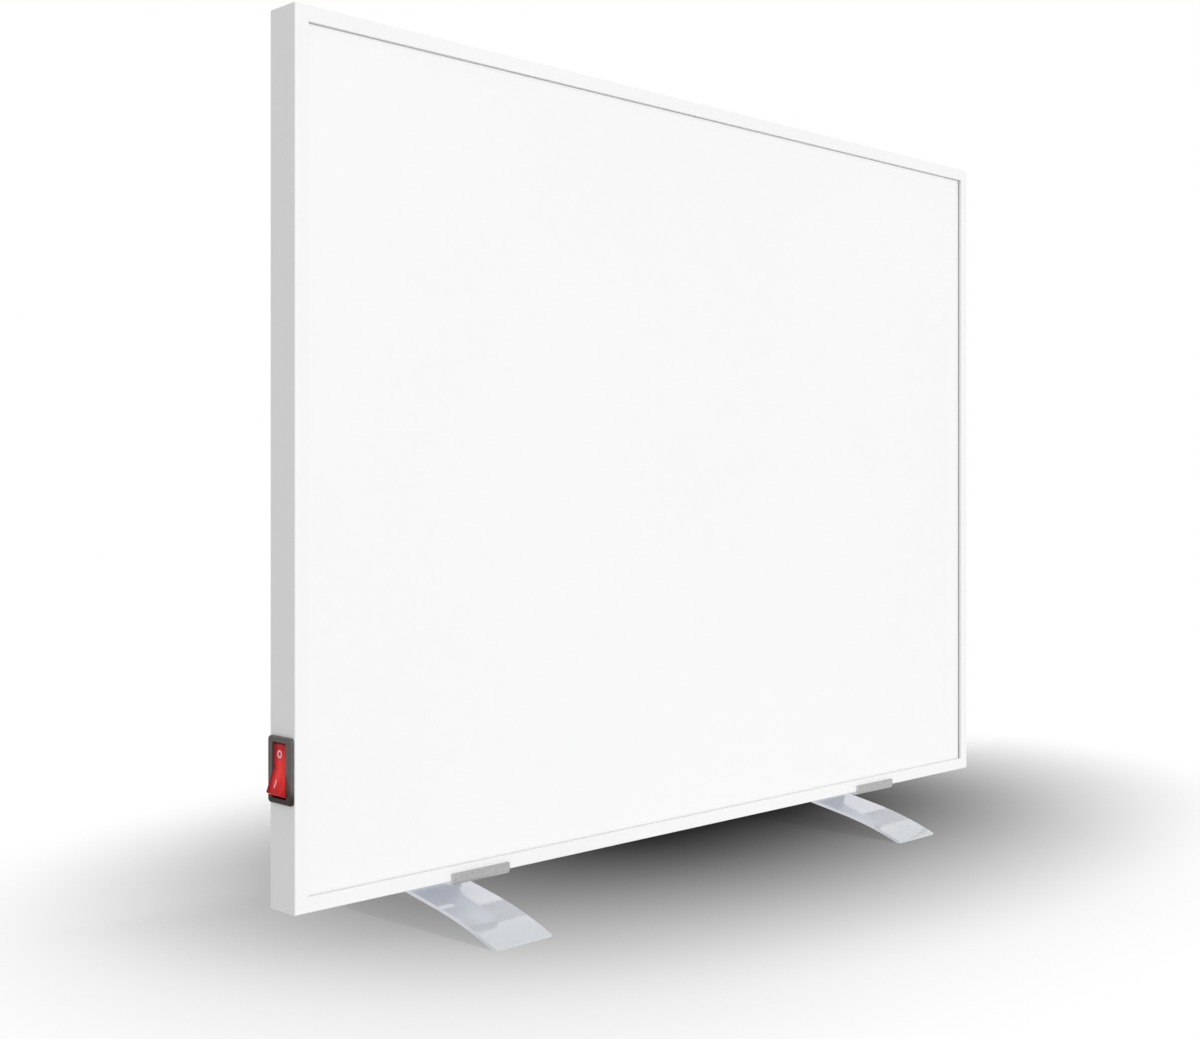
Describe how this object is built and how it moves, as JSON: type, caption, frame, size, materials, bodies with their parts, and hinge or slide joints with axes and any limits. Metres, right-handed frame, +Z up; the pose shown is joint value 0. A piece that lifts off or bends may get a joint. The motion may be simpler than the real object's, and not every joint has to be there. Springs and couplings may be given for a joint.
{
  "type": "under-desk radiant panel heater",
  "caption": "Flat white radiant panel in a slim frame, with a lit rocker switch in one side and bent steel clip-on feet that stand it upright.",
  "frame": {"origin": "on the floor, under the middle of the panel's width and halfway between the feet's front and rear tips", "axes": "+X to the right along the panel's width as its front is seen, +Y from the radiating front to the back, +Z up"},
  "size_m": [0.6057, 0.1434, 0.48],
  "materials": {
    "white_frame": "satin",
    "white_sheet": "matte",
    "white_cover": "satin",
    "key_aluminium": "satin",
    "seal_rubber": "matte",
    "board_laminate": "satin",
    "copper_strip": "satin",
    "bright_foil": "polished",
    "fibre_board": "matte",
    "zinc_steel": "satin",
    "gland_plastic": "satin",
    "gland_rubber": "matte",
    "block_plastic": "satin",
    "cutout_plastic": "satin",
    "contact_brass": "satin",
    "lead_brown": "satin",
    "lead_blue": "satin",
    "lead_green_yellow": "satin",
    "switch_black": "gloss",
    "lamp_glass": "gloss",
    "rocker_red": "gloss",
    "mark_white": "satin",
    "plunger_plastic": "satin",
    "spring_steel": "satin",
    "foot_steel": "polished",
    "rivet_steel": "satin"
  },
  "bodies": {
    "panel": {"frame_bottom": "white_frame", "frame_top": "white_frame", "frame_left": "white_frame", "frame_right": "white_frame", "corner_keys": "key_aluminium", "seal_bottom": "seal_rubber", "seal_top": "seal_rubber", "seal_left": "seal_rubber", "seal_right": "seal_rubber", "front_sheet": "white_sheet", "heating_board": "board_laminate", "electrode_strips": "copper_strip", "reflector_foil": "bright_foil", "insulation_board": "fibre_board", "back_cover": "white_cover", "cover_screws": "zinc_steel", "threaded_inserts": "zinc_steel", "gland_body": "gland_plastic", "gland_lock_nut": "gland_plastic", "gland_cap": "gland_plastic", "gland_seal": "gland_rubber", "terminal_block": "block_plastic", "terminal_screws": "zinc_steel", "earth_stud": "contact_brass", "earth_ring": "contact_brass", "earth_nut": "contact_brass", "thermal_cutout": "cutout_plastic", "receptacles": "contact_brass", "lead_lamp": "lead_blue", "lead_live": "lead_brown", "lead_switched": "lead_brown", "lead_heater": "lead_brown", "lead_neutral": "lead_blue", "lead_earth": "lead_green_yellow", "switch_housing": "switch_black", "switch_blades": "contact_brass", "switch_lamp": "lamp_glass"},
    "rocker": {"rocker": "rocker_red", "rocker_marks": "mark_white", "plunger": "plunger_plastic", "plunger_spring": "spring_steel"},
    "contact": {"contact_bar": "contact_brass"},
    "foot_left": {"foot_left_clip": "foot_steel", "foot_left_leg": "foot_steel", "foot_left_rivets": "rivet_steel"},
    "foot_right": {"foot_right_clip": "foot_steel", "foot_right_leg": "foot_steel", "foot_right_rivets": "rivet_steel"}
  },
  "joints": [
    {"name": "rocker_tilt", "type": "hinge", "parent": "panel", "child": "rocker", "pos_m": [-0.2975, -0.024, 0.1005], "axis": [0, -1, 0], "range_deg": [0, 20]},
    {"name": "contact_tilt", "type": "hinge", "parent": "panel", "child": "contact", "pos_m": [-0.288, -0.024, 0.1005], "axis": [0, -1, 0], "range_deg": [-8, 0]},
    {"name": "foot_left_slide", "type": "slide", "parent": "panel", "child": "foot_left", "axis": [1, 0, 0], "range_m": [-0.07, 0.11]},
    {"name": "foot_right_slide", "type": "slide", "parent": "panel", "child": "foot_right", "axis": [-1, 0, 0], "range_m": [-0.07, 0.11]}
  ],
  "couplings": [
    {"joint": "contact_tilt", "follows": "rocker_tilt", "ratio": -0.4}
  ]
}
